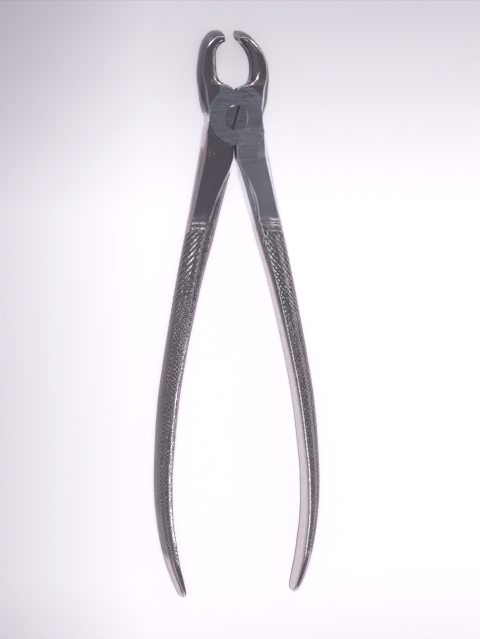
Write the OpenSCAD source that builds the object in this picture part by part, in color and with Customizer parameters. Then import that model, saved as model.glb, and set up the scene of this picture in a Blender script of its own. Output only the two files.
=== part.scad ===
// Extracting forceps with a lap joint, chequered handles and gouge beaks.
// Two one-piece steel halves cross at a flat joint and turn on one slotted,
// shouldered screw. Origin: on the screw's axis, in the flat underside of the
// joint. +Y points to the beaks, +Z out of the screw's head.

/* [Joint] */
// Radius of the round joint plate of each half
joint_r = 8.7; // [8.5:0.1:8.8]
// Full thickness of the joint, both plates together
joint_t = 7; // [6.8:0.1:7.2]
// Gap between the two sliding plates
lap_gap = 0.05; // [0.04:0.01:0.1]
// Gap between a plate's rim and the other half's shoulder
rim_gap = 0.15; // [0.1:0.05:0.25]

/* [Screw] */
// Radius of the screw's head
head_r = 3.9; // [3.6:0.1:4.1]
// Height of the screw's head
head_h = 1.6; // [1.4:0.1:1.8]
// Radius of the smooth shoulder that the upper half turns on
shoulder_r = 3; // [2.8:0.1:3.1]
// Radius over the thread's crests
thread_r = 2.5; // [2.4:0.1:2.6]
// Thread pitch
pitch = 0.6; // [0.5:0.1:0.7]
// Width of the driver slot
slot_w = 1; // [0.8:0.1:1.2]
// Depth of the driver slot
slot_d = 0.9; // [0.7:0.1:1.1]
// Angle of the slot from the forceps' long axis
slot_angle = -17; // [-45:1:45]
// Radial running clearance of shoulder and head
run_gap = 0.05; // [0.03:0.01:0.08]

/* [Beaks] */
// Height of the beaks at their tips
tip_h = 9.2; // [8.4:0.2:9.6]
// Depth of the hollow in the inner face at the tips, as a share of their thickness
tip_hollow = 0.4; // [0.2:0.05:0.5]
// Sideways set of both tips towards -X, as hand work left them
tip_set = 0.75; // [0:0.25:1]

/* [Handles] */
// Height of the handles at their widest, near the ends
handle_h = 10.7; // [9.5:0.1:11.5]

/* [Hidden] */
$fn = 96;
mid_z = joint_t / 2;
skin = 0.02;              // forged surfaces stop this far inside the ground plate faces

// Handle stations: [y, inner face x, thickness, height, outer flat as a share of the height]
handle_st = [
    [  -1.25, 3.0,  6.05, 6.96, 0.90],
    [  -3.5,  1.0,  8.8,  6.96, 0.86],
    [  -6,    0.15,10.1,  6.96, 0.82],
    [  -9,    0.05,10.7,  6.96, 0.74],
    [ -13,    0.4, 11.1,  6.8,  0.66],
    [ -19,    2.3, 10.3,  6.5,  0.60],
    [ -26,    4.2,  9.8,  6.2,  0.56],
    [ -32,    5.8,  9.35, 6.05, 0.56],
    [ -38.5,  7.5,  9.1,  6.1,  0.60],
    [ -51,   11.2,  8.0,  6.7,  0.62],
    [ -64,   14.3,  7.2,  7.3,  0.62],
    [ -77,   17.2,  6.5,  7.9,  0.62],
    [ -89.5, 19.4,  6.2,  8.5,  0.60],
    [-102,   21.0,  5.6,  9.1,  0.58],
    [-115,   22.0,  5.0,  9.7,  0.56],
    [-127,   21.8,  4.4, 10.3,  0.54],
    [-134,   21.0,  4.1, 10.6,  0.52],
    [-140,   20.1,  3.4, 10.6,  0.50],
    [-145,   18.9,  2.9, 10.0,  0.46],
    [-148.5, 18.0,  2.4,  8.3,  0.42],
    [-150.3, 17.6,  1.9,  5.8,  0.40],
    [-151,   17.7,  1.2,  3.4,  0.40]
];

// Beak stations, x measured outward: [outer x, outer y, inner x, inner y,
// height, centre height, forward lean of the lower edge, outer flat share, hollow share]
beak_st = [
    [ 9.1,   0.9,  3.0,  0.9,  6.96, 3.5,  0,    0.88, 0],
    [10.05,  3.0,  1.5,  3.2,  6.96, 3.5,  0,    0.86, 0],
    [10.7,   5.5,  0.6,  6.0,  6.96, 3.5,  0,    0.80, 0],
    [11.1,   8.0,  0.3,  8.5,  6.9,  3.5,  0,    0.66, 0],
    [11.35, 10.0,  1.4, 10.0,  6.7,  3.5,  0,    0.54, 0],
    [11.6,  11.6,  3.5, 10.6,  6.4,  3.45, 0,    0.52, 0],
    [11.7,  13.2,  5.1, 12.1,  6.3,  3.4,  0,    0.54, 0.04],
    [11.65, 15.0,  5.75,14.4,  6.4,  3.3,  0.01, 0.58, 0.08],
    [11.4,  17.0,  5.9, 16.6,  6.75, 3.15, 0.04, 0.62, 0.12],
    [10.9,  19.2,  5.85,18.6,  7.1,  3.0,  0.08, 0.66, 0.16],
    [10.15, 21.4,  5.6, 20.3,  7.6,  2.8,  0.13, 0.70, 0.20],
    [ 9.15, 23.5,  5.1, 21.8,  8.2,  2.55, 0.19, 0.74, 0.24],
    [ 7.7,  25.5,  4.3, 23.1,  8.7,  2.3,  0.24, 0.78, 0.28],
    [ 6.0,  27.1,  3.5, 24.1,  9.0,  2.1,  0.28, 0.82, 0.33],
    [ 4.3,  27.7,  2.9, 24.6,  9.2,  1.95, 0.31, 0.84, 0.37],
    [ 2.68, 27.7,  2.45,24.9,  9.2,  1.9,  0.33, 0.86, 0.40]
];

// Points on a smooth curve through a list of stations, n steps to a span
function blend4(a, b, c, d, t) =
    0.5 * ((2 * b) + (c - a) * t + (2 * a - 5 * b + 4 * c - d) * t * t + (3 * b - a - 3 * c + d) * t * t * t);
function smooth(s, n) = [
    for (i = [0 : len(s) - 2], k = [0 : n - 1])
        blend4(s[max(i - 1, 0)], s[i], s[i + 1], s[min(i + 2, len(s) - 1)], k / n),
    s[len(s) - 1]
];

// Section of a handle: share across from the inner face, share of the half height
function handle_loop(g) = [
    [0, -0.88], [0, 0.88], [0.06, 1], [0.35, 1], [0.62, 0.96], [0.85, 0.3 + 0.7 * g],
    [0.96, g], [1, 0.35 * g], [1, -0.35 * g], [0.96, -g], [0.85, -0.3 - 0.7 * g],
    [0.62, -0.96], [0.35, -1], [0.06, -1]
];
// Section of a beak: share across from the outer face, share of the half height
function beak_loop(g, h) = [
    [0.94, 1], [1, 0.9], [1 - 0.7 * h, 0.5], [1 - h, 0], [1 - 0.7 * h, -0.5], [1, -0.9], [0.94, -1],
    [0.6, -1], [0.3, -0.98], [0.08, -0.35 - 0.62 * g], [0, -g], [0, g], [0.08, 0.35 + 0.62 * g],
    [0.3, 0.98], [0.6, 1]
];

// Closed skin over a stack of loops that all have the same number of points
module skin_over(loops) {
    m = len(loops[0]);
    n = len(loops);
    polyhedron(
        points = [for (l = loops, p = l) p],
        faces = concat(
            [[for (j = [0 : m - 1]) j]],
            [for (i = [0 : n - 2], j = [0 : m - 1]) let (a = i * m + j, b = i * m + (j + 1) % m) [a, a + m, b]],
            [for (i = [0 : n - 2], j = [0 : m - 1]) let (a = i * m + j, b = i * m + (j + 1) % m) [b, a + m, b + m]],
            [[for (j = [m - 1 : -1 : 0]) (n - 1) * m + j]]
        )
    );
}

// The handle of the upper half, on the +X side
module handle_bar() {
    k = handle_h / 10.7;
    st = smooth(handle_st, 2);
    skin_over([
        for (i = [len(st) - 1 : -1 : 0])
            let (s = st[i], grow = 1 + (k - 1) * min(1, max(0, (-s[0] - 30) / 80)))
            [for (p = handle_loop(s[4])) [s[1] + p[0] * s[2], s[0], mid_z + p[1] * s[3] * grow / 2 * joint_t / 7]]
    ]);
}

// A beak on the -X side; set is how far its tip leans further out
module beak_bar(set) {
    k = tip_h / 9.2;
    lean = tan(5.5);
    skin_over([
        for (s = smooth(beak_st, 2))
            let (
                grow = 1 + (k - 1) * min(1, max(0, (s[1] - 12) / 14)),
                end = min(1, max(0, (s[1] - 15) / 12)),
                out = min(1, max(0, (s[1] - 17) / 9))
            )
            [for (p = beak_loop(s[7], s[8] * tip_hollow / 0.4))
                let (
                    dz = p[1] * s[4] * grow / 2 * joint_t / 7,
                    dy = -dz * s[6],
                    x = s[0] + (s[2] - s[0]) * p[0] + dy * lean * end,
                    y = s[1] + (s[3] - s[1]) * p[0] + dy
                )
                [-x - set * out * out * (3 - 2 * out), y, mid_z - 3.5 + s[5] + dz]]
    ]);
}

// One forged half with its plate in the upper layer, before the bores
module half_blank() {
    difference() {
        union() {
            handle_bar();
            beak_bar(tip_set);
            translate([0, 0, mid_z - 0.2]) cylinder(r = joint_r, h = mid_z + 0.2);
        }
        // room for the other half's plate
        translate([0, 0, -5]) cylinder(r = joint_r + rim_gap, h = 5 + mid_z + lap_gap / 2);
        // room for the other half's beak root when the beaks close
        translate([0, 0, -5]) linear_extrude(5 + mid_z + lap_gap / 2)
            polygon([[0, 4], [14 * cos(75), 14 * sin(75)], [14 * cos(99), 14 * sin(99)]]);
        // room for the other half's handle root when the handles close
        translate([0, 0, -5]) linear_extrude(5 + mid_z + lap_gap / 2)
            polygon([[-4, -6], [1.9, -6], [1.9, -14], [2.2, -17.5], [-4, -17.5]]);
    }
}

module upper_half() {
    color([0.55, 0.56, 0.6])
    difference() {
        half_blank();
        translate([0, 0, mid_z - 1]) cylinder(r = shoulder_r + run_gap, h = joint_t);
        translate([0, 0, joint_t - head_h - lap_gap]) cylinder(r = head_r + run_gap, h = head_h + 1);
    }
}

module lower_half() {
    color([0.5, 0.51, 0.55])
    difference() {
        lower_blank();
        translate([0, 0, -1]) cylinder(r = thread_r - 0.3, h = joint_t);
        translate([0, 0, -0.01]) cylinder(r1 = thread_r + 0.61, r2 = thread_r, h = 0.71);
    }
}

// The lower half: the same forging seen in a mirror, with its plate in the lower layer
module lower_blank() {
    difference() {
        union() {
            mirror([1, 0, 0]) handle_bar();
            mirror([1, 0, 0]) beak_bar(-tip_set);
            cylinder(r = joint_r, h = mid_z + 0.2);
        }
        translate([0, 0, mid_z - lap_gap / 2]) cylinder(r = joint_r + rim_gap, h = joint_t + 5);
        translate([0, 0, mid_z - lap_gap / 2]) linear_extrude(joint_t + 5)
            polygon([[0, 4], [14 * cos(105), 14 * sin(105)], [14 * cos(81), 14 * sin(81)]]);
        translate([0, 0, mid_z - lap_gap / 2]) linear_extrude(joint_t + 5)
            polygon([[4, -6], [-1.9, -6], [-1.9, -14], [-2.2, -17.5], [4, -17.5]]);
    }
}

// Rivet end, thread, shoulder and slotted head, turned as one
module pivot_screw() {
    seat = mid_z - lap_gap / 2;
    top = joint_t - 0.04;
    under = joint_t - head_h;
    rings = floor((seat - 0.9) / pitch);
    color([0.42, 0.43, 0.47])
    difference() {
        rotate_extrude()
            polygon(concat(
                [[0, 0], [thread_r + 0.6, 0], [thread_r, 0.7]],
                [for (i = [0 : rings - 1], q = [[0, 0], [0.25, -0.35], [0.35, -0.35], [0.6, 0]])
                    [thread_r + q[1], 0.75 + (i + q[0] * 0.98) * pitch]],
                [[thread_r, 0.8 + rings * pitch], [thread_r, seat], [shoulder_r, seat], [shoulder_r, under],
                 [head_r, under], [head_r, top - 0.15], [head_r - 0.15, top], [0, top]]
            ));
        rotate([0, 0, slot_angle])
            translate([-slot_w / 2, -head_r - 1, top - slot_d]) cube([slot_w, 2 * head_r + 2, slot_d + 1]);
    }
}

upper_half();
lower_half();
pivot_screw();
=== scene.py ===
import math

import bpy
import numpy as np
from mathutils import Matrix, Vector, kdtree


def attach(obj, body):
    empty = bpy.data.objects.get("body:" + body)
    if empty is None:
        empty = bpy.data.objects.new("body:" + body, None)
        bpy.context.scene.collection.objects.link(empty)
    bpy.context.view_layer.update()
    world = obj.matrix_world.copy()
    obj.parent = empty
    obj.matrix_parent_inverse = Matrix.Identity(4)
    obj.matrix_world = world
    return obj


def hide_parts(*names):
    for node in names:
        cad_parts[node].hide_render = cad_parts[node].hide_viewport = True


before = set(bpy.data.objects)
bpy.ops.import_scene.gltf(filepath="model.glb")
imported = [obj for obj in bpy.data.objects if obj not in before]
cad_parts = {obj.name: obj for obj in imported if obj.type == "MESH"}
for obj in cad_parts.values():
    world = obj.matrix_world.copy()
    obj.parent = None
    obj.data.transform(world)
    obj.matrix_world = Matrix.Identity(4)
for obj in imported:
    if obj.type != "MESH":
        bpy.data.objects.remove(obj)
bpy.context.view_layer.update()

# ---------------------------------------------------------------- helpers (lengths in mm until the end)

MID = 3.5          # half of the joint's thickness
RIM = 8.85         # radius of the room for the other half's plate


def pchip(table, x):
    """Smooth curve through (x, y) pairs that never overshoots them."""
    pts = sorted(table)
    X = np.array([p[0] for p in pts], float)
    Y = np.array([p[1] for p in pts], float)
    h = np.diff(X)
    d = np.diff(Y) / h
    m = np.zeros(len(X))
    m[0], m[-1] = d[0], d[-1]
    for i in range(1, len(X) - 1):
        if d[i - 1] * d[i] > 0:
            w1, w2 = 2 * h[i] + h[i - 1], h[i] + 2 * h[i - 1]
            m[i] = (w1 + w2) / (w1 / d[i - 1] + w2 / d[i])
    x = np.clip(np.asarray(x, float), X[0], X[-1])
    k = np.clip(np.searchsorted(X, x) - 1, 0, len(h) - 1)
    t = (x - X[k]) / h[k]
    return ((1 + 2 * t) * (1 - t) ** 2 * Y[k] + t * (1 - t) ** 2 * h[k] * m[k]
            + t * t * (3 - 2 * t) * Y[k + 1] + t * t * (t - 1) * h[k] * m[k + 1])


def step(a, b, x):
    t = np.clip((np.asarray(x, float) - a) / (b - a), 0, 1)
    return t * t * (3 - 2 * t)


def wave(x, y, seed):
    """Slow, deterministic unevenness between about -1 and 1."""
    r = np.random.RandomState(seed)
    out = 0.0
    for _ in range(6):
        fx, fy, p = r.uniform(-1, 1), r.uniform(-1, 1), r.uniform(0, 6.28)
        out = out + np.sin(x * fx + y * fy + p)
    return out / 3.2


def new_object(name, verts, faces):
    me = bpy.data.meshes.new(name)
    me.from_pydata([tuple(v) for v in verts], [], faces)
    me.update()
    ob = bpy.data.objects.new(name, me)
    bpy.context.scene.collection.objects.link(ob)
    return ob


def grid_faces(rows, cols, flip=False):
    i = np.arange(rows - 1)[:, None] * cols
    j = np.arange(cols)[None, :]
    k = (j + 1) % cols
    q = np.stack([i + j, i + k, i + cols + k, i + cols + j], axis=-1).reshape(-1, 4)
    if flip:
        q = q[:, ::-1]
    faces = q.tolist()
    first = list(range(cols))
    last = list(range((rows - 1) * cols, rows * cols))
    faces.append(first if flip else first[::-1])
    faces.append(last[::-1] if flip else last)
    return faces


def lathe(name, profile, segments=192):
    """Closed body turned about Z from (radius, z) points; the first and last are on the axis."""
    verts, faces = [], []
    n = len(profile)
    verts.append((0, 0, profile[0][1]))
    for r, z in profile[1:-1]:
        for s in range(segments):
            a = 2 * math.pi * s / segments
            verts.append((r * math.cos(a), r * math.sin(a), z))
    verts.append((0, 0, profile[-1][1]))
    end = len(verts) - 1
    for s in range(segments):
        t = (s + 1) % segments
        faces.append((0, 1 + t, 1 + s))
        for k in range(n - 3):
            a, b = 1 + k * segments, 1 + (k + 1) * segments
            faces.append((a + s, a + t, b + t, b + s))
        a = 1 + (n - 3) * segments
        faces.append((a + s, a + t, end))
    ob = new_object(name, verts, faces)
    return ob


def prism(name, outline, z0, z1):
    n = len(outline)
    area = sum(outline[i][0] * outline[(i + 1) % n][1] - outline[(i + 1) % n][0] * outline[i][1] for i in range(n))
    if area < 0:
        outline = outline[::-1]
    verts = [(x, y, z0) for x, y in outline] + [(x, y, z1) for x, y in outline]
    faces = [list(range(n))[::-1], list(range(n, 2 * n))]
    faces += [(i, (i + 1) % n, n + (i + 1) % n, n + i) for i in range(n)]
    return new_object(name, verts, faces)


def boolean(ob, other, op):
    """ob with other joined or cut; other is used up."""
    before = len(ob.data.polygons)
    for solver in ("MANIFOLD", "EXACT"):
        mod = ob.modifiers.new("b", "BOOLEAN")
        try:
            mod.solver = solver
        except TypeError:
            ob.modifiers.remove(mod)
            continue
        mod.operation = op
        mod.object = other
        dg = bpy.context.evaluated_depsgraph_get()
        me = bpy.data.meshes.new_from_object(ob.evaluated_get(dg))
        ob.modifiers.remove(mod)
        if len(me.polygons) > before * 0.2:
            break
        print("boolean fell back from", solver, ob.name, other.name)
    old = ob.data
    ob.data = me
    bpy.data.meshes.remove(old)
    gone = other.data
    bpy.data.objects.remove(other)
    bpy.data.meshes.remove(gone)
    return ob


# ---------------------------------------------------------------- handle (built on the +X side)

INNER = [(-1.25, 3.0), (-3.5, 1.0), (-6, 0.15), (-9, 0.0), (-12.2, 0.1), (-14.4, 0.75), (-16.2, 1.3), (-19.4, 2.35), (-25.8, 4.1), (-32.1, 5.8), (-38.5, 7.5),
         (-51.2, 11.2), (-63.9, 14.3), (-76.6, 17.1), (-89.4, 19.4), (-102.1, 20.95), (-114.8, 22.0), (-121, 22.05),
         (-127.5, 21.8), (-133.9, 21.0), (-140.2, 20.05), (-145, 18.9), (-148.5, 18.0), (-150.4, 17.6), (-151, 17.9)]
OUTER = [(-1.25, 9.05), (-2.5, 9.5), (-4.8, 10.1), (-7.3, 10.5), (-9.9, 10.9), (-13, 11.5), (-19.4, 12.7), (-25.8, 13.95),
         (-30.5, 14.85), (-38.5, 16.6), (-51.2, 19.2), (-63.9, 21.5), (-76.6, 23.7), (-89.4, 25.6), (-102.1, 26.6),
         (-114.8, 27.0), (-120, 26.85), (-127.5, 26.1), (-133.9, 25.1), (-140.2, 23.5), (-145, 21.8), (-148.2, 20.5),
         (-150.4, 19.5), (-151, 18.7)]
HEIGHT = [(-1.25, 6.98), (-9, 6.98), (-13, 6.82), (-19, 6.55), (-26, 6.24), (-32, 6.05), (-38.5, 6.1), (-51, 6.7), (-64, 7.3),
          (-77, 7.9), (-89.5, 8.5), (-102, 9.1), (-115, 9.7), (-127, 10.3), (-134, 10.6), (-140, 10.6), (-145, 10.0),
          (-148.5, 8.3), (-150.3, 5.6), (-151, 2.6)]
MARGIN = [(-1.25, 0.45), (-11, 0.5), (-13, 0.7), (-20, 1.6), (-26, 2.6), (-35, 3.2), (-38, 3.3), (-51, 2.5), (-64, 1.9),
          (-77, 1.4), (-89, 1.25), (-102, 1.0), (-115, 0.88), (-127, 0.76), (-140, 0.65), (-151, 0.4)]
FLAT = [(-1.25, 5.4), (-4.8, 7.0), (-9, 7.4), (-13, 6.6), (-19, 5.9), (-26, 5.35), (-32, 5.3), (-38.5, 5.2), (-51, 4.5), (-64, 4.0),
        (-77, 3.5), (-89, 3.3), (-102, 2.9), (-115, 2.5), (-127, 2.2), (-140, 1.8), (-146, 1.3), (-151, 0.42)]
SPINE = [(-1.25, 5.85), (-4.8, 8.6), (-9, 8.9), (-13, 8.6), (-19, 8.3), (-26, 8.1), (-32, 8.0), (-38.5, 7.3), (-51, 6.1), (-64, 5.3),
         (-77, 4.7), (-89, 4.4), (-102, 3.9), (-115, 3.4), (-127, 2.9), (-140, 2.3), (-146, 1.7), (-151, 0.6)]
DROP1 = [(-1.25, 0.0), (-9, 0.02), (-14, 0.05), (-30, 0.1), (-38, 0.3), (-140, 0.3), (-151, 0.1)]
DROP2 = [(-1.25, 0.05), (-6, 0.15), (-10, 0.3), (-14, 0.4), (-32, 0.55), (-38.5, 0.85), (-64, 0.85), (-100, 0.9), (-127, 0.95),
         (-140, 0.9), (-151, 0.3)]


def handle(sign, name):
    y = np.concatenate([np.arange(-1.25, -31.4, -0.5), np.arange(-31.6, -36.2, -0.14), np.arange(-36.3, -139.6, -0.17),
                        np.arange(-139.8, -148.0, -0.3), np.arange(-148.2, -150.9, -0.18), [-151.0]])
    xi, xo, H = pchip(INNER, y), pchip(OUTER, y), pchip(HEIGHT, y) / 2
    T = xo - xi
    b, a1, a2 = pchip(MARGIN, y), pchip(FLAT, y), pchip(SPINE, y)
    if sign > 0:                                   # the margin is narrower on this side
        b = b * (1 - 0.5 * step(-22, -34, y) + 0.15 * step(-90, -125, y))
    else:
        b = b * (1 + 0.45 * step(-66, -100, y))
    a2 = np.minimum(a2, 0.93 * T)
    a1 = np.minimum(a1, a2 - 0.12)
    b = np.minimum(b, a1 - 0.12)
    c = np.minimum(pchip([(-1, 0.35), (-9, 0.5), (-20, 0.8), (-50, 0.75), (-100, 0.45), (-151, 0.25)], y), b * 0.55)
    md = 0.10 - 0.075 * step(-14, -24, y)
    d1, d2 = pchip(DROP1, y), pchip(DROP2, y)
    n = len(y)

    def seg(u0, z0, u1, z1, k, ease=1.0):
        t = np.linspace(0, 1, k, endpoint=False)[None, :]
        t = 1 - (1 - t) ** -ease if ease < 0 else t ** ease
        return u0[:, None] * (1 - t) + u1[:, None] * t, z0[:, None] * (1 - t) + z1[:, None] * t

    zero = np.zeros(n)
    parts = [seg(zero, zero, zero, H - md - c, 6), seg(zero, H - md - c, c, H - md, 3), seg(c, H - md, b, H, 9, -4.0),
             seg(b, H, a1, H - d1, 20, 1.45), seg(a1, H - d1, a2, H - d2, 14)]
    t = np.linspace(0, math.pi / 2, 24)[None, :]
    ex = 2 / 2.2
    su = a2[:, None] + (T - a2)[:, None] * np.sin(t) ** ex
    sz = (H - d2)[:, None] * np.cos(t) ** ex
    parts.append((su, np.maximum(sz, 0)))
    U = np.concatenate([p[0] for p in parts], axis=1)
    Z = np.concatenate([p[1] for p in parts], axis=1)
    Z[:, -1] = 0
    # the chequered band starts a little lower than it crowns
    w = (a1 - b)[:, None]
    du = U - b[:, None]
    dip = np.where(du > 0, np.exp(-(du / (0.24 * w)) ** 2), np.exp(-(du / 0.28) ** 2))
    dip = dip * (0.085 * step(-22, -34, y) * (1 - step(-136, -142, y)))[:, None] * (Z > 0.6 * H[:, None])
    Z = Z - dip
    # soften the lines of the section a little
    for _ in range(2):
        Us, Zs = U.copy(), Z.copy()
        Us[:, 1:-1] = 0.25 * U[:, :-2] + 0.5 * U[:, 1:-1] + 0.25 * U[:, 2:]
        Zs[:, 1:-1] = 0.25 * Z[:, :-2] + 0.5 * Z[:, 1:-1] + 0.25 * Z[:, 2:]
        U, Z = Us, Zs
    dU, dZ = np.gradient(U, axis=1), np.gradient(Z, axis=1)
    length = np.hypot(dU, dZ) + 1e-9
    nu, nz = dZ / length * -1, dU / length
    nu, nz = -(-nu), nz
    # outward: up on the top, away from the inner face on the side
    nu = -dZ / length
    nz = dU / length
    s = np.concatenate([np.zeros((n, 1)), np.cumsum(np.hypot(np.diff(U, axis=1), np.diff(Z, axis=1)), axis=1)], axis=1)
    s = s - s[:, [18]]                       # from the line between margin and chequering
    Y = y[:, None]
    low = 1 - step(-78, -48, Y)
    zone = step(0.10, 0.32, s - 0.14 * low)
    lam = 1.30 + 0.85 * step(-68, -42, Y)
    rate = 1 / lam[:, 0]
    phi = np.concatenate([[0], np.cumsum(0.5 * (rate[1:] + rate[:-1]) * np.diff(y))])[:, None]
    seed = 3 if sign > 0 else 8
    top = step(-78, -48, Y)
    A = phi + 1.28 * s / lam + 0.10 * wave(Y * 0.9, s * 1.2, seed)
    B = phi - 1.12 * s / lam + 0.12 * wave(Y * 0.8, s * 1.4, seed + 1)
    rA, rB = 1 - np.abs(2 * (A % 1) - 1), 1 - np.abs(2 * (B % 1) - 1)      # 1 on the crest, 0 in the groove
    rA, rB = np.minimum(rA, 0.90) / 0.90, np.minimum(rB, 0.86) / 0.86
    worn = 0.85 + 0.25 * wave(Y * 0.35, s * 0.6, seed + 2)
    dA = (0.10 + 0.08 * top) * worn
    dB = (0.09 - 0.072 * top) * (0.85 + 0.35 * wave(Y * 0.5, s * 0.9, seed + 3))
    cut = dA * (1 - rA) + dB * (1 - rB) ** 1.15
    K = step(-35.7, -36.4, Y) * (1 - step(-136.5, -139.5, Y)) * zone
    bead = (0.10 * np.exp(-((Y + 32.7) / 0.50) ** 2) + 0.11 * np.exp(-((Y + 34.35) / 0.45) ** 2)
            - 0.12 * np.exp(-((Y + 33.55) / 0.24) ** 2) - 0.18 * np.exp(-((Y + 35.3) / 0.34) ** 2)
            - 0.08 * np.exp(-((Y + 31.9) / 0.22) ** 2)) * zone * (0.62 if sign > 0 else 0.24)
    ridge = 0.15 * np.exp(-((s + 0.02) / (0.20 + 0.05 * low)) ** 2) * step(-12, -22, Y) * (1 - step(-137, -142, Y))
    ridge = ridge * (0.92 + 0.10 * wave(Y * 0.9, s * 0, seed + 5))
    h = bead + ridge - K * (0.04 + cut)
    U2, Z2 = U + nu * h, Z + nz * h
    deep = cut / (0.9 * dA + 0.5 * dB + 0.02)
    # Darker colour over the chequered band as grime, and darker still in its cut grooves and between the collar beads
    # as painted shade in the recesses.
    grime_and_painted_shade = K * ((0.40 if sign > 0 else 0.32) - 0.20 * top + (0.45 + 0.41 * top) * step(0.30, 1.0, deep)) + np.clip(-bead / 0.25, 0, 1) * 0.7
    # Painted shade on the outer flanks: the chequering darker down its lower side, the left handle most; the side
    # darker towards the floor; a dark band along the middle of the neck's side.
    grime_and_painted_shade = np.maximum(grime_and_painted_shade, ((0.42 + 0.18 * step(-45, -75, Y) if sign > 0 else 0.60) + 0.34 * step(0.2, 0.9, deep)) * K * step(0.92, 0.60, Z / H[:, None]))
    grime_and_painted_shade = np.maximum(grime_and_painted_shade, 0.6 * step(-6, -11, Y) * step(0.60, 0.15, Z / H[:, None]) * (U > a2[:, None]))
    grime_and_painted_shade = np.maximum(grime_and_painted_shade, 0.8 * np.exp(-((Z / H[:, None] - 0.50) / 0.15) ** 2) * (U > a2[:, None])
                        * step(-8, -11, Y) * (1 - step(-30, -38, Y)))
    crest = rA ** 3 * rB ** (4 - 3 * top)
    # Lighter, smoother colour: the worn crests of the chequering; the ridge line at the chequering's inner border, worn
    # and whitened further as a painted highlight; the right handle's collar beads lightened as a painted highlight.
    wear_and_painted_highlight = np.clip(np.exp(-((s + 0.02) / (0.22 + 0.08 * low)) ** 2) * step(-12, -22, Y) + (0.18 if sign > 0 else 0.0) * np.clip(bead / 0.12, 0, 1)
                   + K * crest * (0.45 + 0.45 * top), 0, 1)
    # Painted glints: lighter, smoother crests in a band near the inner edge of the upper chequering.
    low_end = step(-72, -62, Y) if sign > 0 else step(-60, -52, Y)
    glint = K * low_end * step(0.15, 0.5, s) * (1 - step(2.7, 3.8, s)) * step(1.0, 0.45, deep)
    wear_and_painted_highlight = np.maximum(wear_and_painted_highlight, 0.85 * glint)
    uc = c[:, None] * 1.15 + 0.1
    # Painted highlight: a light line along the inner bevel of each handle.
    line = np.exp(-((U - uc) / 0.16) ** 2) * step(-14, -22, Y) * (1 - step(-138, -143, Y)) * (Z > 0.3 * H[:, None])
    wear_and_painted_highlight = np.maximum(wear_and_painted_highlight, 0.55 * line)
    # Painted shade: the upper part of the inner face darkened up to its bevel.
    inner_bevel = (1 - step(0.75, 1.05, U / uc)) * step(0.55, 0.80, Z / H[:, None]) * step(-10, -20, Y)
    grime_and_painted_shade = np.maximum(grime_and_painted_shade, 0.45 * inner_bevel)
    Uf = np.concatenate([U2, U2[:, -2:0:-1]], axis=1)
    Zf = np.concatenate([Z2, -Z2[:, -2:0:-1]], axis=1)
    # Painted contact shadow: the inner face's lower edge darkened.
    under = grime_and_painted_shade.copy()
    under[:, 5:8] = np.maximum(under[:, 5:8], 0.85)      # dark line along the inner face's lower edge
    G = np.concatenate([grime_and_painted_shade, under[:, -2:0:-1]], axis=1)
    W = np.concatenate([wear_and_painted_highlight, wear_and_painted_highlight[:, -2:0:-1]], axis=1)
    cols = Uf.shape[1]
    X = (xi[:, None] + Uf) * sign
    V = np.stack([X, np.broadcast_to(Y, X.shape), MID + Zf], axis=-1).reshape(-1, 3)
    ob = new_object(name, V, grid_faces(n, cols, flip=sign > 0))
    return ob, V, np.stack([G.ravel(), W.ravel()], axis=1)


# ---------------------------------------------------------------- beak (built on the -X side)

# outer x, outer y, inner x, inner y, height, centre height, lean, outer flat share, hollow share
BEAK = np.array([
    [9.1, 0.9, 3.0, 0.9, 6.90, 3.5, 0, 0.72, 0],
    [10.05, 3.0, 1.5, 3.2, 6.90, 3.5, 0, 0.60, 0],
    [10.7, 5.5, 0.6, 6.0, 6.88, 3.5, 0, 0.48, 0],
    [11.1, 8.0, 0.3, 8.5, 6.84, 3.5, 0, 0.36, 0],
    [11.35, 10.0, 1.6, 9.95, 6.72, 3.5, 0, 0.30, 0],
    [11.6, 11.6, 3.4, 10.6, 6.40, 3.48, 0, 0.26, 0.02],
    [11.7, 13.2, 5.1, 12.0, 6.20, 3.4, 0, 0.24, 0.05],
    [11.65, 15.0, 5.75, 14.4, 6.35, 3.3, 0.01, 0.24, 0.08],
    [11.4, 17.0, 5.9, 16.6, 6.75, 3.15, 0.04, 0.26, 0.12],
    [10.9, 19.2, 5.85, 18.6, 7.1, 3.0, 0.08, 0.28, 0.16],
    [10.15, 21.4, 5.6, 20.3, 7.6, 2.8, 0.13, 0.30, 0.20],
    [9.15, 23.5, 5.1, 21.8, 8.2, 2.55, 0.19, 0.32, 0.24],
    [7.7, 25.5, 4.3, 23.1, 8.7, 2.3, 0.24, 0.34, 0.28],
    [6.0, 27.1, 3.5, 24.1, 9.0, 2.1, 0.28, 0.36, 0.33],
    [4.3, 27.7, 2.9, 24.6, 9.2, 1.95, 0.31, 0.38, 0.37],
    [2.68, 27.7, 2.45, 24.9, 9.2, 1.9, 0.33, 0.40, 0.40]])


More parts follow.
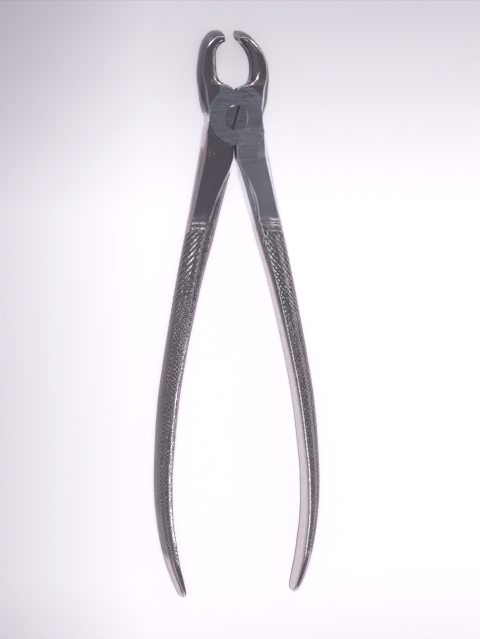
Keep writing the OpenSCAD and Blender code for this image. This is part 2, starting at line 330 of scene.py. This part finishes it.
def beak(sign, name):
    k = np.arange(len(BEAK))
    t = np.linspace(0, len(BEAK) - 1, (len(BEAK) - 1) * 10 + 1)
    cols = [pchip(list(zip(k, BEAK[:, j])), t) for j in range(9)]
    xo, yo, xi, yi, Hh, zc, lean, g, hol = cols
    n = len(t)
    rows, P = [], None
    for i in range(n):
        gi, hi = g[i], hol[i]
        k_ = float(step(3.4, 7.6, t[i]))                 # rounding of the inner edges, none beside the plate
        kr = k_ if sign > 0 else 0.62 * k_               # the right beak is worn rounder
        e1, e2 = 0.93 - 0.33 * kr, 0.99 - 0.12 * kr
        q1, q2 = 1.0 - 0.05 * kr, 0.92 - 0.46 * kr
        ctrl = [(e1, q1), (e2, 0.97 - 0.24 * kr), (1.0, q2), (1 - 0.8 * hi, 0.38), (1 - hi, 0.0), (1 - 0.8 * hi, -0.38), (1.0, -q2),
                (e2, -0.97 + 0.05 * k_), (e1, -q1),
                (0.5, -1.0), (0.24, -0.93), (0.06, -0.42 - 0.5 * gi), (0.0, -gi), (0.0, gi), (0.05, 0.40 + 0.42 * gi),
                (0.115, 0.70 + 0.22 * gi), (0.19, 0.965), (0.42, 1.0)]
        counts = [4, 4, 6, 6, 6, 6, 4, 4, 6, 6, 5, 4, 10, 5, 5, 5, 6, 6]
        loop = []
        for j, m in enumerate(counts):
            p, q = ctrl[j], ctrl[(j + 1) % len(ctrl)]
            for e in range(m):
                f = e / m
                loop.append((p[0] * (1 - f) + q[0] * f, p[1] * (1 - f) + q[1] * f))
        rows.append(loop)
    L = np.array(rows)                                   # n, m, 2
    tip = step(13.0, 15.0, t)[:, None]
    L[:, :, 0] = L[:, :, 0] * (xo - xi)[:, None]
    L[:, :, 1] = L[:, :, 1] * (Hh / 2)[:, None]
    for _ in range(3):
        L = 0.25 * np.roll(L, 1, axis=1) + 0.5 * L + 0.25 * np.roll(L, -1, axis=1)
    # put the softened section back to full size
    for d in (0, 1):
        lo, hi_ = L[:, :, d].min(1, keepdims=True), L[:, :, d].max(1, keepdims=True)
        want_lo = np.zeros((n, 1)) if d == 0 else -(Hh / 2)[:, None]
        want_hi = (xo - xi)[:, None] if d == 0 else (Hh / 2)[:, None]
        L[:, :, d] = want_lo + (L[:, :, d] - lo) / (hi_ - lo) * (want_hi - want_lo)
    share = L[:, :, 0] / (xo - xi)[:, None]
    dz = L[:, :, 1]
    dy = -dz * lean[:, None]
    end = np.clip((t / 15 * 27 - 15) / 12, 0, 1)[:, None]
    end = np.clip((yo[:, None] - 15) / 12, 0, 1)
    X = xo[:, None] + (xi - xo)[:, None] * share + dy * math.tan(math.radians(5.5)) * end
    Yv = yo[:, None] + (yi - yo)[:, None] * share + dy
    Zv = zc[:, None] + dz
    # both tips are set a little to the left, as hand work left them
    X = X - sign * 0.75 * step(17, 26, yo)[:, None]
    V = np.stack([X * sign, Yv, Zv], axis=-1).reshape(-1, 3)
    m = X.shape[1]
    return new_object(name, V, grid_faces(n, m, flip=sign < 0))


def plate(name, z0, z1, top):
    e = 0.12
    if top:
        prof = [(0, z0), (8.7, z0), (8.7, z1 - 0.04), (8.66, z1), (0, z1)]
    else:
        prof = [(0, z0), (8.5, z0), (8.58, z0 + 0.01), (8.66, z0 + 0.05), (8.7, z0 + 0.12), (8.7, z1), (0, z1)]
    return lathe(name, prof)


def wedge(angles, r=14.0, base=(0, 4)):
    return [base] + [(r * math.cos(math.radians(a)), r * math.sin(math.radians(a))) for a in angles]


def outward(ob):
    """Faces turned outward whichever way the loops ran."""
    import bmesh
    bm = bmesh.new()
    bm.from_mesh(ob.data)
    bmesh.ops.recalc_face_normals(bm, faces=bm.faces)
    bm.to_mesh(ob.data)
    bm.free()
    return ob


def build_half(which):
    up = which == "upper"
    sign = 1 if up else -1
    ob, HV, HA = handle(sign, which + "_half_forging")
    outward(ob)
    boolean(ob, outward(beak(-sign, which + "_beak")), "UNION")
    boolean(ob, outward(plate(which + "_plate", 3.3 if up else 0.0, 7.0 if up else 3.7, up)), "UNION")
    if up:
        room = [(0, -6), (9.3, -6), (9.3, -0.25), (9.02, 0.0), (RIM, 0.17), (RIM, 3.525), (0, 3.525)]
        z0, z1 = -6, 3.525
        wa, slit = (75, 99), [(-4, -6), (1.9, -6), (1.9, -14), (2.2, -17.5), (-4, -17.5)]
    else:
        room = [(0, 3.475), (RIM, 3.475), (RIM, 6.83), (9.02, 7.0), (9.3, 7.25), (9.3, 13), (0, 13)]
        z0, z1 = 3.475, 13
        wa, slit = (105, 81), [(4, -6), (-1.9, -6), (-1.9, -14), (-2.2, -17.5), (4, -17.5)]
    boolean(ob, outward(lathe("room", room)), "DIFFERENCE")
    boolean(ob, outward(prism("wedge", wedge(wa), z0, z1)), "DIFFERENCE")
    boolean(ob, outward(prism("slit", slit, z0, z1)), "DIFFERENCE")
    if up:
        bore = [(0, 2.0), (3.05, 2.0), (3.05, 5.35), (3.95, 5.35), (3.95, 6.96), (4.0, 7.01), (4.0, 8), (0, 8)]
    else:
        bore = [(0, -1), (3.2, -1), (3.14, 0.0), (2.54, 0.7), (2.2, 0.8), (2.2, 5), (0, 5)]
    boolean(ob, outward(lathe("bore", bore, 160)), "DIFFERENCE")
    me = ob.data
    n = len(me.vertices)
    co = np.empty(n * 3)
    me.vertices.foreach_get("co", co)
    co = co.reshape(-1, 3)
    tree = kdtree.KDTree(len(HV))
    for i, v in enumerate(HV):
        tree.insert(v, i)
    tree.balance()
    grime_and_painted_shade, wear_and_painted_highlight = np.zeros(n), np.zeros(n)
    for i in np.nonzero(co[:, 1] < -9)[0]:
        _, j, _ = tree.find(co[i])
        grime_and_painted_shade[i], wear_and_painted_highlight[i] = HA[j]
    me.vertices.foreach_set("co", (co * 0.001).ravel())
    nrm = np.empty(n * 3)
    me.vertices.foreach_get("normal", nrm)
    nrm = nrm.reshape(-1, 3)
    side = -nrm[:, 0] * sign                       # towards the outside of this half's beak
    on_beak = step(0.5, 2.5, co[:, 1]) * (np.hypot(co[:, 0], co[:, 1]) > 8.95)
    # Painted shade: beak faces turned outward, and faces turned towards the tips near their ends, darkened.
    painted_shade_mask = on_beak * step(0.45, 0.75, np.maximum(side, nrm[:, 1] * step(20, 25, co[:, 1])))
    lo, hi = (0.18, 0.60) if not up else (0.12, 0.5)
    # Painted shade on the beaks' inner faces and tip ends.
    inner = on_beak * step(9.0, 12.0, co[:, 1]) * step(lo, hi, -side)
    if up:
        inner = inner * (0.86 + 0.3 * wave(co[:, 0] * 4, co[:, 1] * 4, 21))
    painted_shade_mask = np.maximum(painted_shade_mask, 0.8 * inner)
    # Painted shade on the lips of the V beside the plate, dimming their reflections.
    lips = on_beak * (co[:, 1] < 12.5) * (np.abs(co[:, 0]) < 4.7) * step(0.25, 0.7, nrm[:, 1])
    painted_shade_mask = np.maximum(painted_shade_mask, 0.9 * lips)
    # The rounded top-outer edge of the beaks is lightened: a worn edge, brightened further as a painted highlight.
    wear_and_painted_highlight = np.maximum(wear_and_painted_highlight, on_beak * 0.7 * np.exp(-((side - 0.42) / 0.16) ** 2) * (nrm[:, 2] > 0.3))
    for key, val in (("grime_and_painted_shade", grime_and_painted_shade), ("wear_and_painted_highlight", wear_and_painted_highlight), ("painted_shade_mask", painted_shade_mask)):
        at = me.attributes.new(key, "FLOAT", "POINT")
        at.data.foreach_set("value", val.astype(np.float32))
    me.update()
    finish(ob, 27)
    return ob


def finish(ob, angle):
    me = ob.data
    me.polygons.foreach_set("use_smooth", [True] * len(me.polygons))
    me.set_sharp_from_angle(angle=math.radians(angle))
    me.update()


def build_screw():
    prof = [(0, 0.0), (3.0, 0.0), (3.1, 0.05), (2.5, 0.7), (2.5, 3.45), (3.0, 3.5), (3.0, 5.4), (3.9, 5.4), (3.9, 6.88),
            (3.88, 6.93), (3.76, 6.980), (3.64, 6.981), (3.52, 6.982), (2.6, 6.986), (1.3, 6.988), (0, 6.99)]
    ob = outward(lathe("pivot_screw_turned", prof, 160))
    w = 0.40
    a = math.radians(-17)
    c, s = math.cos(a), math.sin(a)
    e = 0.07
    out = [(-w, 6.0), (w, 6.0), (w, 6.9), (w + e, 6.98), (w + e, 8), (-w - e, 8), (-w - e, 6.98), (-w, 6.9)]
    verts = []
    for yy in (-5, 5):
        for x, z in out:
            verts.append((x * c - yy * s, x * s + yy * c, z))
    n = len(out)
    faces = [list(range(n)), list(range(n, 2 * n))[::-1]]
    faces += [(i, n + i, n + (i + 1) % n, (i + 1) % n) for i in range(n)]
    boolean(ob, outward(new_object("slot", verts, faces)), "DIFFERENCE")
    me = ob.data
    co = np.empty(len(me.vertices) * 3)
    me.vertices.foreach_get("co", co)
    me.vertices.foreach_set("co", co * 0.001)
    co = co.reshape(-1, 3)
    inside = (co[:, 2] > 5.9) & (co[:, 2] < 6.95) & (np.abs(co[:, 0] * c + co[:, 1] * s) < w + 0.02)
    for key in ("grime_and_painted_shade", "wear_and_painted_highlight", "painted_shade_mask"):
        at = me.attributes.new(key, "FLOAT", "POINT")
        rad = np.hypot(co[:, 0], co[:, 1])
        # Painted shade: the inside of the slot and a thin ring on the head's top darkened.
        if key == "grime_and_painted_shade":
            ring = (np.abs(rad - 3.64) < 0.03) & (co[:, 2] > 6.9)
            at.data.foreach_set("value", np.maximum(0.85 * inside, 0.65 * ring).astype(np.float32))
        # Painted highlight: the head's rim gets the lighter, smoother colour so the light's reflection on it shows
        # white.
        if key == "wear_and_painted_highlight":
            at.data.foreach_set("value", ((rad > 3.7) & (co[:, 2] > 6.85) & ~inside).astype(np.float32))
    me.update()
    finish(ob, 18)
    return ob


# ---------------------------------------------------------------- materials

def steel(name, tint, rough, dark):
    mat = bpy.data.materials.new(name)
    mat.use_nodes = True
    nt = mat.node_tree
    nt.nodes.clear()
    N, Lk = nt.nodes.new, nt.links.new

    def math_(op, a, b=None, clamp=False):
        nd = N("ShaderNodeMath")
        nd.operation, nd.use_clamp = op, clamp
        for i, v in enumerate((a, b)):
            if v is None:
                continue
            if isinstance(v, (int, float)):
                nd.inputs[i].default_value = v
            else:
                Lk(v, nd.inputs[i])
        return nd.outputs[0]

    def noise(scale, detail, vec, rough_=0.55):
        nd = N("ShaderNodeTexNoise")
        nd.inputs["Scale"].default_value = scale
        nd.inputs["Detail"].default_value = detail
        nd.inputs["Roughness"].default_value = rough_
        Lk(vec, nd.inputs["Vector"])
        return nd.outputs["Fac"]

    def remap(v, a, b, c, d):
        nd = N("ShaderNodeMapRange")
        nd.inputs["From Min"].default_value, nd.inputs["From Max"].default_value = a, b
        nd.inputs["To Min"].default_value, nd.inputs["To Max"].default_value = c, d
        Lk(v, nd.inputs["Value"])
        return nd.outputs["Result"]

    def mixc(f, a, b):
        nd = N("ShaderNodeMix")
        nd.data_type = "RGBA"
        if isinstance(f, (int, float)):
            nd.inputs[0].default_value = f
        else:
            Lk(f, nd.inputs[0])
        for i, v in ((6, a), (7, b)):
            if isinstance(v, tuple):
                nd.inputs[i].default_value = (*v, 1)
            else:
                Lk(v, nd.inputs[i])
        return nd.outputs[2]

    out, bs = N("ShaderNodeOutputMaterial"), N("ShaderNodeBsdfPrincipled")
    Lk(bs.outputs[0], out.inputs[0])
    pos = N("ShaderNodeTexCoord").outputs["Object"]
    sep = N("ShaderNodeSeparateXYZ")
    Lk(pos, sep.inputs[0])
    y = sep.outputs["Y"]

    def attr(key):
        nd = N("ShaderNodeAttribute")
        nd.attribute_name = key
        return nd.outputs["Fac"]

    grime_and_painted_shade, wear_and_painted_highlight, painted_shade_mask = attr("grime_and_painted_shade"), attr("wear_and_painted_highlight"), attr("painted_shade_mask")

    def scratch(angle, sx, sy, scale, lo, hi):
        mp = N("ShaderNodeMapping")
        mp.inputs["Rotation"].default_value = (0, 0, math.radians(angle))
        mp.inputs["Scale"].default_value = (sx, sy, sx)
        Lk(pos, mp.inputs["Vector"])
        return remap(noise(scale, 2, mp.outputs[0]), lo, hi, 0, 1)

    s1 = scratch(8, 3200, 90, 1.0, 0.60, 0.72)
    s2 = scratch(-35, 2600, 110, 1.0, 0.63, 0.74)
    s3 = scratch(62, 2200, 120, 1.0, 0.64, 0.75)
    marks = math_("MAXIMUM", s1, math_("MAXIMUM", s2, s3), True)
    blot = noise(130, 4, pos)
    blot2 = noise(420, 5, pos, 0.65)
    speck = remap(noise(1500, 3, pos), 0.62, 0.72, 0, 1)
    rad = math_("SQRT", math_("ADD", math_("POWER", sep.outputs["X"], 2.0), math_("POWER", y, 2.0)))
    rad = math_("SUBTRACT", rad, remap(sep.outputs["X"], -0.002, 0.004, 0.0003, 0.0019))
    plate_ = remap(rad, 0.0088, 0.0093, 1, 0)
    level = math_("ABSOLUTE", math_("SUBTRACT", sep.outputs["Z"], 0.0035))
    plate_ = math_("MULTIPLY", plate_, remap(level, 0.0027, 0.0033, 0, 1))      # ground faces only
    # Right neck mask: satin finish, also used below for a painted sheen.
    neck = math_("MULTIPLY", remap(sep.outputs["X"], 0.0, 0.001, 0, 1), remap(y, -0.034, -0.028, 0, 0.7))
    neck = math_("MULTIPLY", neck, remap(y, -0.004, -0.002, 1, 0))
    lip = math_("MULTIPLY", remap(sep.outputs["X"], -0.0056, -0.0048, 0, 1), remap(sep.outputs["X"], 0.000, 0.001, 1, 0))
    lip = math_("MULTIPLY", lip, math_("MULTIPLY", remap(y, 0.004, 0.005, 0, 1), remap(y, 0.0098, 0.0106, 1, 0)))
    satin = math_("MAXIMUM", math_("MAXIMUM", plate_, lip), neck, True)
    polish = math_("MULTIPLY", remap(y, -0.034, -0.028, 0, 1), math_("SUBTRACT", 1.0, satin))
    col = mixc(remap(blot, 0.42, 0.62, 0, 1), tint, tuple(c * k for c, k in zip(tint, (0.93, 0.86, 0.82))))
    col = mixc(math_("MULTIPLY", math_("SUBTRACT", 1.0, satin), 0.72), col, (0.595, 0.495, 0.54))
    stain = math_("MULTIPLY", remap(blot2, 0.52, 0.75, 0, 0.25), math_("SUBTRACT", 1.0, math_("MULTIPLY", satin, 0.75)))
    col = mixc(stain, col, (0.36, 0.305, 0.29))
    col = mixc(math_("MULTIPLY", satin, 0.35), col, (0.62, 0.65, 0.80))
    # Painted sheen: the right neck coloured near white so it reads brighter.
    col = mixc(math_("MULTIPLY", neck, 0.75), col, (0.95, 0.95, 1.0))
    sm = N("ShaderNodeMapping")
    sm.inputs["Rotation"].default_value = (0, 0, math.radians(-12))
    sm.inputs["Scale"].default_value = (130, 1900, 700)
    Lk(pos, sm.inputs["Vector"])
    streak = noise(1.0, 4, sm.outputs[0], 0.7)
    col = mixc(math_("MULTIPLY", remap(streak, 0.50, 0.64, 0, 0.60), satin), col, (0.90, 0.91, 0.98))
    col = mixc(math_("MULTIPLY", remap(streak, 0.48, 0.34, 0, 0.60), satin), col, (0.36, 0.35, 0.39))
    col = mixc(math_("MULTIPLY", marks, 0.18), col, (0.78, 0.79, 0.82))
    # Worn crests and edges lighter, together with the painted highlights carried in the same attribute.
    col = mixc(math_("MULTIPLY", wear_and_painted_highlight, 0.55), col, (0.80, 0.81, 0.83))
    # Painted highlight: the strongest marks, the ridge line and the screw rim, taken near white.
    col = mixc(math_("MULTIPLY", math_("MAXIMUM", math_("SUBTRACT", wear_and_painted_highlight, 0.90), 0.0), 5.0), col, (0.93, 0.93, 0.95))
    # Grime, and painted shade in grooves, the slot and along shaded edges.
    col = mixc(math_("MULTIPLY", grime_and_painted_shade, dark), col, (0.06, 0.045, 0.052))
    col = mixc(math_("MULTIPLY", math_("MULTIPLY", speck, 0.22), math_("SUBTRACT", 1.0, satin)), col, (0.16, 0.13, 0.12))
    # Painted shade on the beak faces.
    col = mixc(painted_shade_mask, col, (0.16, 0.155, 0.185))
    Lk(col, bs.inputs["Base Color"])
    r = math_("ADD", rough, math_("MULTIPLY", remap(blot2, 0.3, 0.7, -0.04, 0.05), math_("SUBTRACT", 1.0, math_("MULTIPLY", satin, 0.85))))
    r = math_("SUBTRACT", r, math_("MULTIPLY", polish, 0.10))
    r = math_("SUBTRACT", r, math_("MULTIPLY", wear_and_painted_highlight, 0.15))
    r = math_("ADD", r, math_("MULTIPLY", painted_shade_mask, 0.12))
    r = math_("ADD", r, math_("MULTIPLY", remap(grime_and_painted_shade, 0.55, 1.0, 0, 0.25), 1.0), True)
    Lk(r, bs.inputs["Roughness"])
    met = math_("SUBTRACT", 1.0, math_("MULTIPLY", grime_and_painted_shade, 0.25))
    Lk(met, bs.inputs["Metallic"])
    hgt = math_("ADD", math_("MULTIPLY", marks, -0.35), math_("MULTIPLY", blot2, 0.35))
    hgt = math_("ADD", hgt, math_("MULTIPLY", noise(5200, 3, pos), 0.12))
    hgt = math_("ADD", hgt, math_("MULTIPLY", math_("MULTIPLY", streak, satin), 0.3))
    hgt = math_("ADD", hgt, math_("MULTIPLY", blot, 0.5))
    bp = N("ShaderNodeBump")
    bp.inputs["Strength"].default_value = 0.5
    bp.inputs["Distance"].default_value = 0.00003
    Lk(hgt, bp.inputs["Height"])
    Lk(bp.outputs[0], bs.inputs["Normal"])
    return mat


# Both materials paint shade and highlights into their colour, besides wear and grime.
forged = steel("forged_steel_worn_painted_light", (0.64, 0.645, 0.72), 0.27, 0.9)
screwm = steel("screw_steel_worn_painted_light", (0.41, 0.40, 0.44), 0.27, 0.8)

upper = build_half("upper")
lower = build_half("lower")
screw = build_screw()
for ob, mat in ((upper, forged), (lower, forged), (screw, screwm)):
    ob.data.materials.clear()
    ob.data.materials.append(mat)
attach(upper, "upper"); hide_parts("upper_half")
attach(lower, "lower"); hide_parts("lower_half")
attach(screw, "lower"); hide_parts("pivot_screw")

# ---------------------------------------------------------------- floor, light, camera

fm = bpy.data.materials.new("floor_with_painted_light_pool")
fm.use_nodes = True
fb = fm.node_tree.nodes["Principled BSDF"]
fb.inputs["Base Color"].default_value = (0.56, 0.532, 0.585, 1)
fb.inputs["Roughness"].default_value = 0.9
fb.inputs["Specular IOR Level"].default_value = 0.1
ft = fm.node_tree
fv = ft.nodes.new("ShaderNodeTexCoord")
fs = ft.nodes.new("ShaderNodeSeparateXYZ")
ft.links.new(fv.outputs["Object"], fs.inputs[0])


def past(axis, start, slope):
    """How far the floor's own coordinate is past start, times slope."""
    nd = ft.nodes.new("ShaderNodeMapRange")
    nd.clamp = True
    end = start + (1.0 if slope > 0 else -1.0)
    nd.inputs["From Min"].default_value, nd.inputs["From Max"].default_value = start, end
    nd.inputs["To Min"].default_value, nd.inputs["To Max"].default_value = 0.0, abs(slope)
    ft.links.new(fs.outputs[axis], nd.inputs["Value"])
    return nd.outputs["Result"]


# The floor glows: its emission paints a pool of light, brightest around the instrument, falling off past set distances
# in X and Y, and rising again far off.
total = None
for axis, start, slope in (("X", -0.028, -6.0), ("X", 0.15, 5.2), ("Y", 0.030, 5.2), ("Y", -0.085, -4.0)):
    part = past(axis, start, slope)
    if total is None:
        total = part
    else:
        add = ft.nodes.new("ShaderNodeMath")
        add.operation = "ADD"
        ft.links.new(total, add.inputs[0])
        ft.links.new(part, add.inputs[1])
        total = add.outputs[0]
fr = ft.nodes.new("ShaderNodeMapRange")
fr.interpolation_type = "SMOOTHSTEP"
fr.inputs["From Min"].default_value, fr.inputs["From Max"].default_value = -0.26, 0.74
fr.inputs["To Min"].default_value, fr.inputs["To Max"].default_value = 0.79, 0.02
ft.links.new(total, fr.inputs["Value"])
far = ft.nodes.new("ShaderNodeVectorMath")
far.operation = "LENGTH"
ft.links.new(fv.outputs["Object"], far.inputs[0])
last = fr.outputs[0]
for start, end, gain, soft in ((0.125, 0.20, 0.21, "SMOOTHSTEP"), (0.20, 0.60, 0.13, "LINEAR"), (0.6, 1.8, 0.20, "LINEAR")):
    nd = ft.nodes.new("ShaderNodeMapRange")
    nd.interpolation_type = soft
    nd.inputs["From Min"].default_value, nd.inputs["From Max"].default_value = start, end
    nd.inputs["To Min"].default_value, nd.inputs["To Max"].default_value = 0.0, gain
    ft.links.new(far.outputs["Value"], nd.inputs["Value"])
    add = ft.nodes.new("ShaderNodeMath")
    add.operation = "ADD"
    ft.links.new(last, add.inputs[0])
    ft.links.new(nd.outputs["Result"], add.inputs[1])
    last = add.outputs[0]
ft.links.new(last, fb.inputs["Emission Strength"])
fb.inputs["Emission Color"].default_value = (1.0, 0.975, 1.0, 1)
me = bpy.data.meshes.new("floor")
S = 12.0
me.from_pydata([(-S, -S, 0), (S, -S, 0), (S, S, 0), (-S, S, 0)], [], [(0, 1, 2, 3)])
floor = bpy.data.objects.new("floor", me)
bpy.context.scene.collection.objects.link(floor)
me.materials.append(fm)
floor.location = (0, -0.06, -0.00231)
floor.rotation_euler = (-0.0051, 0, 0)

world = bpy.data.worlds.new("studio")
bpy.context.scene.world = world
world.use_nodes = True
wn = world.node_tree
wn.nodes.clear()
wo, bg = wn.nodes.new("ShaderNodeOutputWorld"), wn.nodes.new("ShaderNodeBackground")
tc, sp = wn.nodes.new("ShaderNodeTexCoord"), wn.nodes.new("ShaderNodeSeparateXYZ")
ramp = wn.nodes.new("ShaderNodeValToRGB")
wn.links.new(tc.outputs["Generated"], sp.inputs[0])
wn.links.new(sp.outputs["Z"], ramp.inputs[0])
wn.links.new(ramp.outputs[0], bg.inputs[0])
wn.links.new(bg.outputs[0], wo.inputs[0])
cr = ramp.color_ramp
cr.elements[0].position, cr.elements[0].color = 0.0, (0.130, 0.125, 0.145, 1)
cr.elements[1].position, cr.elements[1].color = 0.9, (0.120, 0.120, 0.140, 1)
wx = wn.nodes.new("ShaderNodeMapRange")
wx.interpolation_type = "SMOOTHSTEP"
wx.inputs["From Min"].default_value, wx.inputs["From Max"].default_value = 0.70, 0.95
wn.links.new(sp.outputs["X"], wx.inputs["Value"])
wmix = wn.nodes.new("ShaderNodeMix")
wmix.data_type = "RGBA"
wmix.inputs[7].default_value = (1.25, 1.22, 1.28, 1)
wn.links.new(wx.outputs[0], wmix.inputs[0])
wn.links.new(ramp.outputs[0], wmix.inputs[6])
wy = wn.nodes.new("ShaderNodeMapRange")
wy.interpolation_type = "SMOOTHSTEP"
wy.inputs["From Min"].default_value, wy.inputs["From Max"].default_value = -0.30, -0.85
wn.links.new(sp.outputs["X"], wy.inputs["Value"])
wleft = wn.nodes.new("ShaderNodeMix")
wleft.data_type = "RGBA"
wleft.inputs[7].default_value = (0.44, 0.42, 0.48, 1)
wn.links.new(wy.outputs[0], wleft.inputs[0])
wn.links.new(wmix.outputs[2], wleft.inputs[6])
wn.links.new(wleft.outputs[2], bg.inputs[0])
lp, mixw, bg2 = wn.nodes.new("ShaderNodeLightPath"), wn.nodes.new("ShaderNodeMixShader"), wn.nodes.new("ShaderNodeBackground")
bg2.inputs[0].default_value = (0.62, 0.595, 0.645, 1)
wn.links.new(lp.outputs["Is Camera Ray"], mixw.inputs[0])
wn.links.new(bg.outputs[0], mixw.inputs[1])
wn.links.new(bg2.outputs[0], mixw.inputs[2])
wn.links.new(mixw.outputs[0], wo.inputs[0])
bg.inputs[1].default_value = 1.0


def area(name, loc, target, size, watts, color=(1, 1, 1)):
    ld = bpy.data.lights.new(name, "AREA")
    ld.energy, ld.size, ld.color = watts, size, color
    ob = bpy.data.objects.new(name, ld)
    bpy.context.scene.collection.objects.link(ob)
    ob.location = loc
    ob.rotation_euler = (Vector(target) - Vector(loc)).to_track_quat("-Z", "Y").to_euler()
    return ob


def strip(name, loc, sx, sy, watts):
    ob = area(name, loc, (loc[0], loc[1], 0), sx, watts)
    ob.rotation_euler = (0, 0, 0)
    ob.data.shape, ob.data.size_y = "RECTANGLE", sy
    return ob


strip("strip_right", (0.330, -0.155, 0.58), 0.05, 0.10, 0.11)
strip("strip_left", (0.000, -0.165, 0.58), 0.05, 0.10, 0.11)
strip("top_right", (0.42, 0.34, 0.58), 0.14, 0.14, 0.34)
strip("top_left", (-0.10, 0.34, 0.58), 0.16, 0.16, 0.50)
bar = area("bar", (0.14, 0.50, 0.50), (0, 0.0, 0), 0.40, 0.38)
bar.data.shape, bar.data.size_y = "RECTANGLE", 0.10
key = area("key", (-0.30, -0.14, 1.30), (0.02, -0.06, 0), 0.7, 5.3, (1.0, 0.985, 0.99))
key.visible_glossy = False
fill = area("fill", (-0.10, -0.80, 0.90), (0, -0.06, 0), 0.80, 0.9)
fill.visible_glossy = False

scene = bpy.context.scene
T = Vector((0.00147, -0.0637, 0.0035))
D = 0.600
th, ph = math.radians(15.0), math.radians(1.0)
F = -Vector((-math.sin(th) * math.cos(ph), math.sin(ph), math.cos(th) * math.cos(ph)))
U0 = (Vector((0, 1, 0)) - F * F.y).normalized()
R0 = F.cross(U0)
d = math.radians(0.63)
U1 = U0 * math.cos(d) + R0 * math.sin(d)
R1 = F.cross(U1)
cam_data = bpy.data.cameras.new("camera")
cam = bpy.data.objects.new("camera", cam_data)
scene.collection.objects.link(cam)
rot = Matrix((R1, U1, -F)).transposed()
cam.matrix_world = Matrix.Translation(T - F * D) @ rot.to_4x4()
cam_data.sensor_fit = "VERTICAL"
cam_data.angle = math.radians(19.2)
cam_data.clip_start, cam_data.clip_end = 0.02, 50
scene.camera = cam
scene.view_settings.view_transform = "Standard"
scene.view_settings.look = "None"
